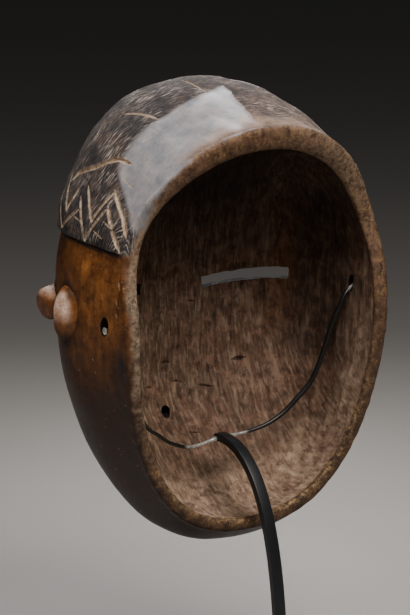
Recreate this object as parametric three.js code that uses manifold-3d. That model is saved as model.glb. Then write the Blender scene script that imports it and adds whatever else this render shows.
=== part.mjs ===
// A carved wooden lwalwa face mask on its display stand. Millimetres, +Z up, the face looks along -Y,
// and the wearer's left is +X. The origin is the middle of the base plate's underside.
import * as THREE from 'three';
import { mergeVertices } from 'three/addons/utils/BufferGeometryUtils.js';
import Module from 'manifold-3d';

const wasm = await Module();
wasm.setup();

// The rim, seen from behind: half-width, reach above and below the mask's own centre, and squareness
const RIM_HALF_WIDTH = 103.5;
const RIM_TOP = 107;
const RIM_BOTTOM = 160;
const RIM_POWER = { top: 2.03, bottom: 2.37 };
const RIM_BLEND = 0.15;
const RIM_THICKNESS = { top: 16, side: 11, bottom: 9 };
const RIM_CROWN = 1.5;
const RIM_BOW = { depth: 17, height: 46, spread: 45 };

// The shell: how deep it is, how square its profile is, and how far it swells past the rim
const FACE_DEPTH = 114.5;
const FACE_POWER = { top: 3.0, side: 5.3, bottom: 2.7 };
const FACE_SWELL = { top: 30.5, side: 5, bottom: 22 };
const SWELL_REACH = { top: 0.88, side: 0.75, bottom: 0.75 };
const SWELL_POWER = { top: 1.6, side: 1, bottom: 1 };
const FALL_BACK = { top: -0.25, side: 0.055, bottom: 0.5 };
const MUZZLE = { height: 22, halfWidth: 36, halfTall: 38, z: -100 };
const MOUTH_BLOCK = { height: 11, halfWidth: 36, halfTall: 23, z: -105 };

// The hollow behind the face
const HOLLOW_DEPTH = 104;
const HOLLOW_POWER = { top: 2.8, side: 4.2, bottom: 2.7 };
const HOLLOW_SWELL = { top: 14, side: 1, bottom: 9 };
const HOLLOW_SWELL_REACH = 0.8;
const HOLLOW_FALL_BACK = { top: -0.08, side: 0.02, bottom: 0.48 };
const HOLLOW_MUZZLE_SHARE = 0.75;

// The dark cap's brim above its edge, and the recess cut below it
const CAP = { edge: 30, brim: 2.5, brimRise: 12, brimSpread: 16, rimFade: 0.12 };
const CAP_RECESS = { deep: 1.25, spread: 14 };

// Each eye: a slit between two distances from the middle, cut in plan from behind, in a shallow hollow
const EYE = { z: -20.2, inner: 24, outer: 81, flare: 16, flareDepth: 22.4, tall: 7.6, slant: 0.085 };
const EYE_CUT = { from: 60, corner: 81, to: 135 };
const EYE_HOLLOW = { depth: 5, outerDepth: 11, from: 50, to: 94, halfTall: 20 };
const EYE_HOLLOW_EDGE = { noseSide: [8, 22], earSide: [93, 101], onFace: [0.62, 0.9] };

// The nose, mouth, ears and temple bosses
const NOSE = { top: 48, tip: -74, root: 88, foot: 103, brow: 115, browDrop: 3, reach: 42, curve: 0.9 };
const NOSE_WIDTH = { ridgeTop: 4.4, ridgeTip: 6.6, baseTop: 9, baseTip: 20 };
const NOSE_EDGE = { wide: 2, drop: 5, round: 1.4 };
const LIPS = { z: -105, apart: 8.5, halfWidth: 31, halfTall: 10, reach: 22, depth: 113, taper: 0.35 };
const EAR = { depth: 62.5, z: -19, halfDeep: 11, halfTall: 20, reach: 10, bend: 4 };
const TEMPLE_KNOB = { x: 101, depth: 87.5, z: -18, radius: 11.2, halfLong: 9.5, round: 7, turn: 12 };

// The drilled holes, each given by its depth behind the face and its height
const SIDE_HOLE = { x: 97.5, long: 40, radius: 2.7, tall: 2.0, left: [22, -16.5], right: [29, -11.5] };
const MOUTH_HOLE = { x: 4.6, z: -104.5, depth: 108, turn: -15.2, long: 60, radius: 3.6 };

// How the mask hangs
const TILT = THREE.MathUtils.degToRad(6);
const HANG_HEIGHT = 275;

// The stand: the bar's bend is given by four points, back from the middle and down from the mask's centre
const PLATE = { side: 140, thick: 10, corner: 3 };
const BAR = { wide: 8, deep: 5, footY: 20, gap: 0.3 };
const BAR_BEND = [[20, 250], [17.5, 150], [-8, 100], [-51, 103.8]];
const WIRE = { radius: 1.2, clearance: 0.35 };

// Mesh steps
const COLUMNS = 76;
const FACE_ROWS = 18;
const HOLLOW_ROWS = 12;
const CROWDING = 0.35;
const NOSE_ROWS = 7;
const KNOB_ROUND_POINTS = 5;
const KNOB_SIDES = 16;
const HOLE_SIDES = 14;
const TUBE_STEPS = 60;
const WIRE_SIDES = 8;
const WIRE_HOLE_SIDES = 12;
const BAR_STEPS = 30;
const CORNER_SEGMENTS = 4;

const smooth = (from, to, v) => THREE.MathUtils.smoothstep(v, from, to);
const bell = (v, width) => Math.exp(-((v / width) ** 2));

// A value set for the top, the sides and the bottom, at an angle round the mask from the top
function around(angle, { top, side, bottom }) {
  const c = Math.cos(angle);
  return side + (top - side) * Math.max(c, 0) ** 2 + (bottom - side) * Math.max(-c, 0) ** 2;
}

function superRadius(angle, halfWidth, halfTall, power) {
  const s = Math.abs(Math.sin(angle)) / halfWidth;
  const c = Math.abs(Math.cos(angle)) / halfTall;
  return (s ** power + c ** power) ** (-1 / power);
}

function rimRadius(angle) {
  const upper = superRadius(angle, RIM_HALF_WIDTH, RIM_TOP, RIM_POWER.top);
  const lower = superRadius(angle, RIM_HALF_WIDTH, RIM_BOTTOM, RIM_POWER.bottom);
  return THREE.MathUtils.lerp(lower, upper, smooth(-RIM_BLEND, RIM_BLEND, Math.cos(angle)));
}

// How far the rim's edge is bowed towards the face at a height
const bow = (z) => RIM_BOW.depth * bell(z - RIM_BOW.height, RIM_BOW.spread);

// A quarter of a rounded square: 0 is at the rim, a right angle is at the middle of the face
function profile(angle, power) {
  const c = Math.max(Math.cos(angle), 0);
  const s = Math.sin(angle);
  const k = (c ** power + s ** power) ** (-1 / power);
  return [k * c, k * s];
}

const muzzle = (x, z) =>
  MUZZLE.height * bell(x, MUZZLE.halfWidth) * bell(z - MUZZLE.z, MUZZLE.halfTall);

// The flat-topped swelling that carries the lips
const mouthBlock = (x, z) => MOUTH_BLOCK.height
  * Math.exp(-((x / MOUTH_BLOCK.halfWidth) ** 4) - (((z - MOUTH_BLOCK.z) / MOUTH_BLOCK.halfTall) ** 4));

function fallBack(x, z, share) {
  const up = Math.max(z, 0) / RIM_TOP;
  const down = Math.max(-z, 0) / RIM_BOTTOM;
  return 1 - share.top * up ** 2 - share.bottom * down ** 2 - share.side * (x / RIM_HALF_WIDTH) ** 2;
}

// The hollow round each eye, deepest at its outer end
function eyeHollow(x, z) {
  const out = Math.abs(x);
  const deep = EYE_HOLLOW.depth + EYE_HOLLOW.outerDepth * smooth(EYE_HOLLOW.from, EYE_HOLLOW.to, out);
  const across = smooth(...EYE_HOLLOW_EDGE.noseSide, out) * (1 - smooth(...EYE_HOLLOW_EDGE.earSide, out));
  return deep * across * Math.exp(-(((z - EYE.z) / EYE_HOLLOW.halfTall) ** 4));
}

// The dark cap's brim stands out above its edge and the face is cut back below it
function capStep(z) {
  const above = CAP.brim * bell(z - CAP.edge - CAP.brimRise, CAP.brimSpread);
  const below = -CAP_RECESS.deep * bell(z - CAP.edge, CAP_RECESS.spread);
  return THREE.MathUtils.lerp(below, above, smooth(CAP.edge - 1, CAP.edge + 1, z));
}

function facePoint(angle, rise) {
  const [c, s] = profile(rise, around(angle, FACE_POWER));
  const swell = Math.sin((Math.PI / 2) * Math.min(s / around(angle, SWELL_REACH), 1));
  const base = rimRadius(angle) + around(angle, FACE_SWELL) * swell ** around(angle, SWELL_POWER);
  const step = capStep(base * c * Math.cos(angle)) * smooth(0, CAP.rimFade, s);
  const radius = (base + step) * c;
  const x = radius * Math.sin(angle);
  const z = radius * Math.cos(angle);
  const front = FACE_DEPTH * fallBack(x, z, FALL_BACK) + muzzle(x, z) + mouthBlock(x, z) + step;
  const hollow = eyeHollow(x, z) * smooth(...EYE_HOLLOW_EDGE.onFace, s);
  return new THREE.Vector3(x, -(front * s + bow(z) * (1 - s) ** 2 - hollow), z);
}

function hollowPoint(angle, rise) {
  const [c, s] = profile(rise, around(angle, HOLLOW_POWER));
  const swell = Math.sin((Math.PI / 2) * Math.min(s / HOLLOW_SWELL_REACH, 1));
  const rim = rimRadius(angle) - around(angle, RIM_THICKNESS);
  const radius = (rim + around(angle, HOLLOW_SWELL) * swell) * c;
  const x = radius * Math.sin(angle);
  const z = radius * Math.cos(angle);
  const front = HOLLOW_DEPTH * fallBack(x, z, HOLLOW_FALL_BACK) + HOLLOW_MUZZLE_SHARE * muzzle(x, z);
  return new THREE.Vector3(x, -(front * s + bow(z) * (1 - s) ** 2), z);
}

// One row of the rounded rim between the face and the hollow
function rimPoint(angle, share) {
  const radius = rimRadius(angle) - around(angle, RIM_THICKNESS) * share;
  const x = radius * Math.sin(angle);
  const z = radius * Math.cos(angle);
  return new THREE.Vector3(x, RIM_CROWN * Math.sin(Math.PI * share) - bow(z), z);
}

// A closed surface from a first point, through rings of points, to a last point
function closedSurface(first, rings, last) {
  const count = rings[0].length;
  const points = [first, ...rings.flat(), last];
  const at = (ring, i) => 1 + ring * count + (i % count);
  const faces = [];
  for (let i = 0; i < count; i += 1) {
    faces.push(0, at(0, i + 1), at(0, i));
    for (let ring = 0; ring + 1 < rings.length; ring += 1) {
      faces.push(at(ring, i), at(ring + 1, i + 1), at(ring + 1, i));
      faces.push(at(ring, i), at(ring, i + 1), at(ring + 1, i + 1));
    }
    faces.push(points.length - 1, at(rings.length - 1, i), at(rings.length - 1, i + 1));
  }
  const geometry = new THREE.BufferGeometry().setFromPoints(points);
  geometry.setIndex(faces);
  return geometry;
}

function toSolid(geometry, matrix = new THREE.Matrix4()) {
  const bare = geometry.clone().applyMatrix4(matrix);
  bare.deleteAttribute('normal');
  bare.deleteAttribute('uv');
  const merged = mergeVertices(bare, 1e-4);
  return new wasm.Manifold(new wasm.Mesh({
    numProp: 3,
    vertProperties: new Float32Array(merged.attributes.position.array),
    triVerts: new Uint32Array(merged.index.array),
  }));
}

function toGeometry(solid) {
  const mesh = solid.getMesh();
  const geometry = new THREE.BufferGeometry();
  geometry.setAttribute('position', new THREE.BufferAttribute(mesh.vertProperties, 3));
  geometry.setIndex(new THREE.BufferAttribute(mesh.triVerts, 1));
  geometry.computeVertexNormals();
  return geometry;
}

const placed = (x, y, z, euler = new THREE.Euler()) =>
  new THREE.Matrix4().makeRotationFromEuler(euler).setPosition(x, y, z);

// Angles round the mask, closer together at its sides
const ANGLES = Array.from({ length: COLUMNS }, (_, i) => {
  const even = (2 * Math.PI * i) / COLUMNS;
  return even + (CROWDING / 2) * Math.sin(2 * even);
});

// Rows from the middle of a surface out to its rim, closer together at the profile's corner
function rowsOf(pointAt, count) {
  return Array.from({ length: count }, (_, i) => {
    const even = (Math.PI / 2) * ((count - 1 - i) / count);
    const rise = even + (CROWDING / 4) * Math.sin(4 * even);
    return ANGLES.map((angle) => pointAt(angle, rise));
  });
}

function shell() {
  const rim = [0.33, 0.67].map((share) => ANGLES.map((angle) => rimPoint(angle, share)));
  const rows = [...rowsOf(facePoint, FACE_ROWS), ...rim, ...rowsOf(hollowPoint, HOLLOW_ROWS).reverse()];
  return toSolid(closedSurface(facePoint(0, Math.PI / 2), rows, hollowPoint(0, Math.PI / 2)));
}

// The space inside the mask as a solid of its own, so that nothing added to the face fills it
function hollowFill() {
  const behind = new THREE.Vector3(0, 30, 0);
  const rows = rowsOf(hollowPoint, HOLLOW_ROWS);
  rows.push(rows[HOLLOW_ROWS - 1].map((point) => point.clone().add(behind)));
  return toSolid(closedSurface(hollowPoint(0, Math.PI / 2), rows, behind));
}

function middleOf(points) {
  const sum = points.reduce((total, point) => total.add(point), new THREE.Vector3());
  return sum.divideScalar(points.length);
}

// The nose: a long straight ridge, wider and higher towards its cut-off tip
function nose() {
  const rings = [];
  for (let i = 0; i <= NOSE_ROWS; i += 1) {
    const t = i / NOSE_ROWS;
    const z = THREE.MathUtils.lerp(NOSE.top, NOSE.tip, t);
    const ridge = NOSE.brow - NOSE.browDrop * t + NOSE.reach * t ** NOSE.curve;
    const base = THREE.MathUtils.lerp(NOSE_WIDTH.baseTop, NOSE_WIDTH.baseTip, t);
    const top = THREE.MathUtils.lerp(NOSE_WIDTH.ridgeTop, NOSE_WIDTH.ridgeTip, t);
    const section = [
      [base, NOSE.root],
      [base, NOSE.foot],
      [top + NOSE_EDGE.wide, ridge - NOSE_EDGE.drop],
      [top, ridge - NOSE_EDGE.round],
      [top / 2, ridge],
    ];
    const mirrored = section.map(([x, depth]) => [-x, depth]).reverse();
    rings.push([...section, ...mirrored].map(([x, depth]) => new THREE.Vector3(x, -depth, z)));
  }
  return toSolid(closedSurface(middleOf(rings[0]), rings, middleOf(rings[NOSE_ROWS])));
}

// A full lip, thinner towards the corners of the mouth
function lip(side) {
  const ball = new THREE.SphereGeometry(1, 18, 10);
  const position = ball.attributes.position;
  for (let i = 0; i < position.count; i += 1) {
    const across = position.getX(i);
    const full = 1 - LIPS.taper * Math.abs(across);
    position.setXYZ(
      i,
      LIPS.halfWidth * across,
      -LIPS.depth + LIPS.reach * full * position.getY(i),
      LIPS.z + side * LIPS.apart * full + LIPS.halfTall * full * position.getZ(i),
    );
  }
  return toSolid(ball);
}

// An ear: a smooth upright ridge, bent a little forward at its middle
function ear(side) {
  const ball = new THREE.SphereGeometry(1, 14, 12);
  const position = ball.attributes.position;
  for (let i = 0; i < position.count; i += 1) {
    const tall = position.getY(i);
    position.setXYZ(
      i,
      side * (RIM_HALF_WIDTH + EAR.reach * position.getX(i)),
      -EAR.depth - EAR.halfDeep * position.getZ(i) * side + EAR.bend * (tall ** 2 - 0.5),
      EAR.z + EAR.halfTall * tall,
    );
  }
  return toSolid(ball);
}

// A boss at the temple, rounded at both ends
function templeKnob(side) {
  const { radius, halfLong, round } = TEMPLE_KNOB;
  const corner = Array.from({ length: KNOB_ROUND_POINTS }, (_, i) => {
    const turn = (Math.PI / 2) * (i / (KNOB_ROUND_POINTS - 1));
    const out = radius - round * (1 - Math.cos(turn));
    return new THREE.Vector2(out, halfLong - round * (1 - Math.sin(turn)));
  });
  const mirrored = corner.map(({ x, y }) => new THREE.Vector2(x, -y)).reverse();
  const outline = [new THREE.Vector2(0, -halfLong), ...mirrored, ...corner, new THREE.Vector2(0, halfLong)];
  const knob = new THREE.LatheGeometry(outline, KNOB_SIDES);
  const outwards = new THREE.Euler(0, 0, side * THREE.MathUtils.degToRad(-90 - TEMPLE_KNOB.turn));
  return toSolid(knob, placed(side * TEMPLE_KNOB.x, -TEMPLE_KNOB.depth, TEMPLE_KNOB.z, outwards));
}

// The slit through which the wearer looks: its outer end is cut at a slant, wider on the face
function eyeSlit(side) {
  const outline = new THREE.Shape([
    new THREE.Vector2(EYE.inner, EYE_CUT.from),
    new THREE.Vector2(EYE.outer, EYE_CUT.from),
    new THREE.Vector2(EYE.outer, EYE_CUT.corner),
    new THREE.Vector2(EYE.outer + EYE.flare, EYE_CUT.corner + EYE.flareDepth),
    new THREE.Vector2(EYE.outer + EYE.flare, EYE_CUT.to),
    new THREE.Vector2(EYE.inner, EYE_CUT.to),
  ]);
  const cutter = new THREE.ExtrudeGeometry(outline, { depth: EYE.tall, bevelEnabled: false });
  const middle = (EYE.inner + EYE.outer) / 2;
  cutter.translate(-middle, 0, -EYE.tall / 2);
  const turned = new THREE.Euler(side > 0 ? Math.PI : 0, EYE.slant, side > 0 ? 0 : Math.PI);
  return toSolid(cutter, placed(side * middle, 0, EYE.z, turned));
}

function sideHole(side) {
  const { radius, long } = SIDE_HOLE;
  const drill = new THREE.CylinderGeometry(radius, radius, long, HOLE_SIDES);
  const across = new THREE.Euler(0, 0, Math.PI / 2);
  const tall = new THREE.Matrix4().makeScale(1, 1, SIDE_HOLE.tall);
  const turned = drill.applyMatrix4(placed(0, 0, 0, across)).applyMatrix4(tall);
  const [depth, z] = side > 0 ? SIDE_HOLE.left : SIDE_HOLE.right;
  return toSolid(turned, placed(side * SIDE_HOLE.x, -depth, z));
}

// The hole through the mouth, drilled at a slant between the lips
function mouthHole() {
  const { radius, long } = MOUTH_HOLE;
  const drill = new THREE.CylinderGeometry(radius, radius, long, HOLE_SIDES);
  const slanted = new THREE.Euler(0, 0, THREE.MathUtils.degToRad(MOUTH_HOLE.turn));
  return toSolid(drill, placed(MOUTH_HOLE.x, -MOUTH_HOLE.depth, MOUTH_HOLE.z, slanted));
}

function maskSolid() {
  let solid = shell();
  const hollowBlock = hollowFill();
  const added = [nose(), lip(1), lip(-1), ear(1), ear(-1), templeKnob(1), templeKnob(-1)];
  for (const piece of added) solid = solid.add(piece.subtract(hollowBlock));
  const cut = [eyeSlit(1), eyeSlit(-1), sideHole(1), sideHole(-1), mouthHole()];
  for (const piece of cut) solid = solid.subtract(piece);
  return solid;
}

// A point of the mask's own frame in the frame that the base plate stands in
const hung = (x, y, z) => new THREE.Vector3(x, y, z)
  .applyAxisAngle(new THREE.Vector3(1, 0, 0), -TILT)
  .add(new THREE.Vector3(0, 0, HANG_HEIGHT));

// The cradle wire, bent by hand from one side hole, down inside the rim, to the other
function wirePath() {
  const bends = [
    [-97, -29.5, -11.5], [-88.5, -28, -18], [-84, -28, -28], [-79, -28.5, -40], [-75.5, -29, -53],
    [-71, -30, -68], [-66, -31, -79], [-57, -32, -88.5], [-48, -33, -97], [-36, -34, -103.5],
    [-20, -35.5, -107.5], [0, -36.5, -108.6], [25.5, -34.5, -111], [43, -33, -105], [52.5, -32, -98.5],
    [63, -31, -91], [76, -29, -68], [85, -26, -40], [89.5, -23, -23], [98, -22, -16.5],
  ];
  return new THREE.CatmullRomCurve3(bends.map(([x, y, z]) => hung(x, y, z)), false, 'centripetal');
}

function circle(radius, sides) {
  const points = Array.from({ length: sides }, (_, i) => {
    const turn = (2 * Math.PI * i) / sides;
    return new THREE.Vector2(radius * Math.cos(turn), radius * Math.sin(turn));
  });
  return new THREE.Shape(points);
}

function wireTube(radius, sides) {
  const settings = { steps: TUBE_STEPS, bevelEnabled: false, extrudePath: wirePath() };
  return toSolid(new THREE.ExtrudeGeometry(circle(radius, sides), settings));
}

// The bar: flat steel, upright from the plate, then bent forward to the wire, which runs through its tip
function barSolid() {
  const foot = new THREE.Vector3(0, BAR.footY, PLATE.thick + BAR.gap);
  const points = BAR_BEND.map(([y, drop]) => new THREE.Vector3(0, y, HANG_HEIGHT - drop));
  const [bendStart, lowerPull, upperPull, tip] = points;
  const path = new THREE.CurvePath();
  path.add(new THREE.LineCurve3(foot, bendStart));
  path.add(new THREE.CubicBezierCurve3(bendStart, lowerPull, upperPull, tip));
  const section = new THREE.Shape([
    new THREE.Vector2(-BAR.deep / 2, -BAR.wide / 2),
    new THREE.Vector2(BAR.deep / 2, -BAR.wide / 2),
    new THREE.Vector2(BAR.deep / 2, BAR.wide / 2),
    new THREE.Vector2(-BAR.deep / 2, BAR.wide / 2),
  ]);
  const settings = { steps: BAR_STEPS, bevelEnabled: false, extrudePath: path };
  const bar = toSolid(new THREE.ExtrudeGeometry(section, settings));
  return bar.subtract(wireTube(WIRE.radius + WIRE.clearance, WIRE_HOLE_SIDES));
}

function plateGeometry() {
  const half = PLATE.side / 2;
  const shape = new THREE.Shape();
  shape.absarc(half - PLATE.corner, half - PLATE.corner, PLATE.corner, 0, Math.PI / 2);
  shape.absarc(PLATE.corner - half, half - PLATE.corner, PLATE.corner, Math.PI / 2, Math.PI);
  shape.absarc(PLATE.corner - half, PLATE.corner - half, PLATE.corner, Math.PI, 1.5 * Math.PI);
  shape.absarc(half - PLATE.corner, PLATE.corner - half, PLATE.corner, 1.5 * Math.PI, 2 * Math.PI);
  const settings = { depth: PLATE.thick, bevelEnabled: false, curveSegments: CORNER_SEGMENTS };
  return new THREE.ExtrudeGeometry(shape, settings);
}

function named(name, geometry, material) {
  const mesh = new THREE.Mesh(geometry, material);
  mesh.name = name;
  return mesh;
}

const carvedWood = new THREE.MeshStandardMaterial({ color: '#5b3a24', roughness: 0.5, metalness: 0 });
const blackSteel = new THREE.MeshStandardMaterial({ color: '#17181a', roughness: 0.42, metalness: 0.6 });
const steelWire = new THREE.MeshStandardMaterial({ color: '#2b2a29', roughness: 0.35, metalness: 0.9 });

const object = new THREE.Group();
const mask = named('mask', toGeometry(maskSolid()), carvedWood);
mask.rotation.x = -TILT;
mask.position.z = HANG_HEIGHT;
object.add(
  mask,
  named('wire_cradle', toGeometry(wireTube(WIRE.radius, WIRE_SIDES)), steelWire),
  named('stand_bar', toGeometry(barSolid()), blackSteel),
  named('base_plate', plateGeometry(), blackSteel),
);

export default object;
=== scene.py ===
# A carved wooden lwalwa face mask on its wire cradle, bent steel bar and base plate
from math import copysign, cos, pi, radians, sin, sqrt, tan

import bmesh
import bpy
import numpy as np
from mathutils import Matrix, Vector
from mathutils.kdtree import KDTree


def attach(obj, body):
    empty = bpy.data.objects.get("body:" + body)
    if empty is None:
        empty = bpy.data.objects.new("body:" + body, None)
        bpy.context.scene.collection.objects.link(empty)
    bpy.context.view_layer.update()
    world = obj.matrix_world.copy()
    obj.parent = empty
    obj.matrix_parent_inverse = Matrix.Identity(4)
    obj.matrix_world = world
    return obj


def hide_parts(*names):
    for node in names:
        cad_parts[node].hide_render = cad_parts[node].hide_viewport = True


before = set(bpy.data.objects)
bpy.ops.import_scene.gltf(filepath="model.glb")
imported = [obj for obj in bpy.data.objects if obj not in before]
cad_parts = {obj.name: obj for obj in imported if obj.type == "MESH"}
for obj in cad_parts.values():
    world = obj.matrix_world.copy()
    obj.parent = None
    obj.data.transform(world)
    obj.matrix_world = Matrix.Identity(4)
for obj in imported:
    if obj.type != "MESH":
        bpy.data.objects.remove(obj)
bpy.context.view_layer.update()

MM = 0.001
RIGHT_ANGLE = pi / 2

# The camera stands behind the mask's left side, a little above it, with a long lens. Its place
# is an azimuth and elevation in degrees and a distance in metres from its aim.
PHOTO_HEIGHT_ON_FILM = 36.0
LENS = 148.0
CAMERA_AIM = Vector((0.0319, -0.0201, 0.2654))
CAMERA_PLACE = (145.0, 11.0, 1.6)
FLOOR_HALF = 14.0

# The mask's shape in millimetres: x to the wearer's left, f forward out of the face, z up
RIM_HALF_WIDTH = 103.5
RIM_TOP = 107.0
RIM_BOTTOM = 160.0
RIM_POWER_TOP = 2.03
RIM_POWER_BOTTOM = 2.37
RIM_THICKNESS = (16.0, 11.0, 9.0)
RIM_CROWN = (4.0, 2.4, 2.8)
RIM_ROUNDNESS = 2.4
BOW_DEPTH = 17.0
BOW_HEIGHT = 46.0
BOW_SPREAD = 45.0

FACE_DEPTH = 114.5
FACE_POWER = (3.0, 5.3, 2.7)
FACE_SWELL = (30.5, 5.0, 22.0)
SWELL_REACH = (0.88, 0.75, 0.75)
SWELL_POWER = (1.6, 1.0, 1.0)
FALL_BACK = (-0.25, 0.055, 0.5)
MUZZLE_HEIGHT = 22.0
MUZZLE_SPREAD = (36.0, 38.0)
MUZZLE_Z = -100.0
MOUTH_BLOCK_HEIGHT = 11.0
MOUTH_BLOCK_SPREAD = (36.0, 23.0)
MOUTH_BLOCK_Z = -105.0

HOLLOW_DEPTH = 104.0
HOLLOW_POWER = (2.8, 4.2, 2.7)
HOLLOW_SWELL = (14.0, 1.0, 9.0)
HOLLOW_SWELL_REACH = 0.8
HOLLOW_FALL_BACK = (-0.08, 0.02, 0.48)
HOLLOW_MUZZLE_SHARE = 0.75

CAP_EDGE = 30.0
CAP_BRIM = 2.5
CAP_RECESS = 1.25
EYE_Z = -20.2
EYE_INNER = 24.0
EYE_OUTER = 81.0
EYE_FLARE = 16.0
EYE_TALL = 7.6
EYE_SLANT = 0.085
EAR_DEPTH = 62.5
EAR_Z = -18.0
EAR_HALF_TALL = 20.0
BOSS_DEPTH = 87.5
BOSS_Z = -18.0

# The drilled holes: the place of each, the axis that it runs along, its half-width, half-height
# and length, how much wider it is worn at its mouths, and how far it slants
HOLES = (
    ((97.5, 22.0, -16.7), 0, 2.8, 4.5, 40.0, 0.5, 0.0),
    ((-97.5, 29.0, -11.5), 0, 2.7, 5.4, 40.0, 0.5, 0.0),
    ((4.6, 108.0, -104.5), 1, 3.6, 3.6, 60.0, 0.0, radians(15.2)),
)

# How often the wall's triangles are divided, at most in half each time, the longest side that
# one may have on each part, and the longest within a distance of a stroke
REFINEMENTS = 6
FACE_SIDE, CAP_SIDE, RIM_SIDE, HOLLOW_SIDE = 4.3, 3.3, 2.2, 3.3
NEAR_STROKE = ((3.0, 2.0), (1.2, 0.95))

# How often a place on the wall is halved in the search for a spot
HALVINGS = 30

# How the mask hangs
TILT = radians(6.0)
HANG_HEIGHT = 275.0
HUNG = (
    Matrix.Scale(MM, 4)
    @ Matrix.Translation((0.0, 0.0, HANG_HEIGHT))
    @ Matrix.Rotation(-TILT, 4, "X")
)

# Incised strokes on the cap: width, depth, and points as degrees round from the top and depth f
ZIGZAG = (
    (1.8, 1.0, ((58.5, 95), (72, 77), (64.5, 61.5))),
    (1.8, 1.1, ((60.5, 65.5), (73, 49), (60.5, 37.5))),
    (2.9, 1.4, ((60, 38.5), (66, 28), (72.5, 18))),
    (1.8, 1.0, ((54, 90), (66.5, 74), (58.5, 70))),
    (1.9, 1.1, ((56.5, 63.5), (66.5, 47), (55, 40))),
    (2.9, 1.4, ((54.5, 40.5), (61.5, 23.5), (67.5, 16.5))),
)
LONG_GOUGE = (3.3, 1.9, ((57, 83), (54, 79), (50.5, 66), (47.5, 59), (45, 51), (44.5, 41)))
CROWN_STROKES = ((1.6, 0.7, ((31, 77), (29, 67), (27, 51))), (1.5, 0.7, ((7, 84), (6, 57))))
SCRATCHES = (
    (1.0, 0.3, ((65, 37), (66.5, 27))),
    (1.0, 0.3, ((69, 43), (70.5, 33))),
    (1.0, 0.3, ((67, 66), (68, 57))),
    (1.0, 0.3, ((49.5, 42), (51.5, 30))),
)

# Small nicks and flecks along the left side
NICKS = (
    (2.4, 0.8, ((82.5, 12.0), (84.5, 10.4))),
    (1.6, 0.3, ((88.5, 12.5), (90, 11.5))),
    (1.6, 0.3, ((93, 12), (94.5, 10.5))),
    (1.2, 0.3, ((110.5, 33.5), (111.5, 32))),
    (1.2, 0.3, ((114.5, 30.5), (115.2, 29.2))),
)

# How far the burnished patch reaches forward, and how wide the worn wood beside the rim is,
# in millimetres, each at angles in degrees round from the top
BURNISH_REACH = ((-4, 12, 23, 31, 40, 47, 50, 54, 59, 66), (66, 55, 51, 52, 52, 50, 45, 35, 23, 15))
WEAR_WIDTH = ((-90, -50, -20, -3, 2, 8, 20, 31, 45, 70), (2.5, 4, 9, 9.5, 15, 13, 9, 6.5, 4, 2.5))

# Where the rim's bare band begins, from 0 at the outer edge to 1 at the hollow, round from the top
RIM_START = (
    (-180, -120, -90, -60, -30, 30, 45, 60, 70, 82, 108, 130, 180),
    (0.2, 0.2, 0.15, 0.1, 0, 0, 0.25, 0.55, 0.48, 0.38, 0.38, 0.3, 0.2),
)

# How far apart a stroke's places are set, how far it tapers at its ends, and its share left there
STROKE_STEP = 0.3
STROKE_TAPER = 5.0
STROKE_TIP = 0.35

# The tool cuts of the knife outside and of the chisel inside, seen along y, x and z: how wide
# and how long each is, and the seed
KNIFE_MARKS = (15.0, 27.0, 1)
CHISEL_MARKS = ((7.5, 30.0, 2), (8.5, 26.0, 3), (9.0, 24.0, 4))

# Short chisel cuts inside the hollow: width, depth, and points as x and z
CHISEL_CUTS = (
    (1.6, 0.9, ((8, -74), (0, -74.5))),
    (1.5, 0.8, ((2, -87), (-7, -88))),
    (1.5, 0.8, ((-19, -91), (-28, -92))),
    (3.2, 1.3, ((-43, -75), (-52, -74))),
    (1.5, 0.8, ((-1, -117), (-9, -117.5))),
    (1.5, 0.8, ((26, -87), (18, -88))),
    (1.4, 0.8, ((-12, -34), (-19, -35))),
)


def smooth(low, high, value):
    share = np.clip((value - low) / (high - low), 0.0, 1.0)
    return share * share * (3.0 - 2.0 * share)


def bell(value, width):
    return np.exp(-((value / width) ** 2))


def circle(count):
    """Angles set evenly all the way round."""
    return 2 * pi * np.arange(count) / count


def summed(lengths):
    """The running total of some lengths, from 0."""
    return np.concatenate([[0.0], np.cumsum(lengths)])


def around(angle, sizes):
    """A value given for the top, sides and bottom, at an angle round the mask from its top."""
    top, side, bottom = sizes
    c = np.cos(angle)
    up, down = np.maximum(c, 0.0) ** 2, np.maximum(-c, 0.0) ** 2
    return side + (top - side) * up + (bottom - side) * down


def super_radius(angle, half_tall, power):
    across = np.abs(np.sin(angle)) / RIM_HALF_WIDTH
    upright = np.abs(np.cos(angle)) / half_tall
    return (across**power + upright**power) ** (-1.0 / power)


def rim_radius(angle):
    upper = super_radius(angle, RIM_TOP, RIM_POWER_TOP)
    lower = super_radius(angle, RIM_BOTTOM, RIM_POWER_BOTTOM)
    return lower + (upper - lower) * smooth(-0.15, 0.15, np.cos(angle))


def bow(z):
    """How far the rim is bowed towards the face at a height."""
    return BOW_DEPTH * bell(z - BOW_HEIGHT, BOW_SPREAD)


def profile(rise, power):
    """A quarter of a rounded square, from the rim at 0 to the face's middle at a right angle."""
    c = np.maximum(np.cos(rise), 0.0)
    s = np.sin(rise)
    k = (c**power + s**power) ** (-1.0 / power)
    return k * c, k * s


def muzzle(x, z):
    return MUZZLE_HEIGHT * bell(x, MUZZLE_SPREAD[0]) * bell(z - MUZZLE_Z, MUZZLE_SPREAD[1])


def mouth_block(x, z):
    across = (x / MOUTH_BLOCK_SPREAD[0]) ** 4
    upright = ((z - MOUTH_BLOCK_Z) / MOUTH_BLOCK_SPREAD[1]) ** 4
    return MOUTH_BLOCK_HEIGHT * np.exp(-across - upright)


def fall_back(x, z, share):
    up = np.maximum(z, 0.0) / RIM_TOP
    down = np.maximum(-z, 0.0) / RIM_BOTTOM
    return 1.0 - share[0] * up**2 - share[2] * down**2 - share[1] * (x / RIM_HALF_WIDTH) ** 2


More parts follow.
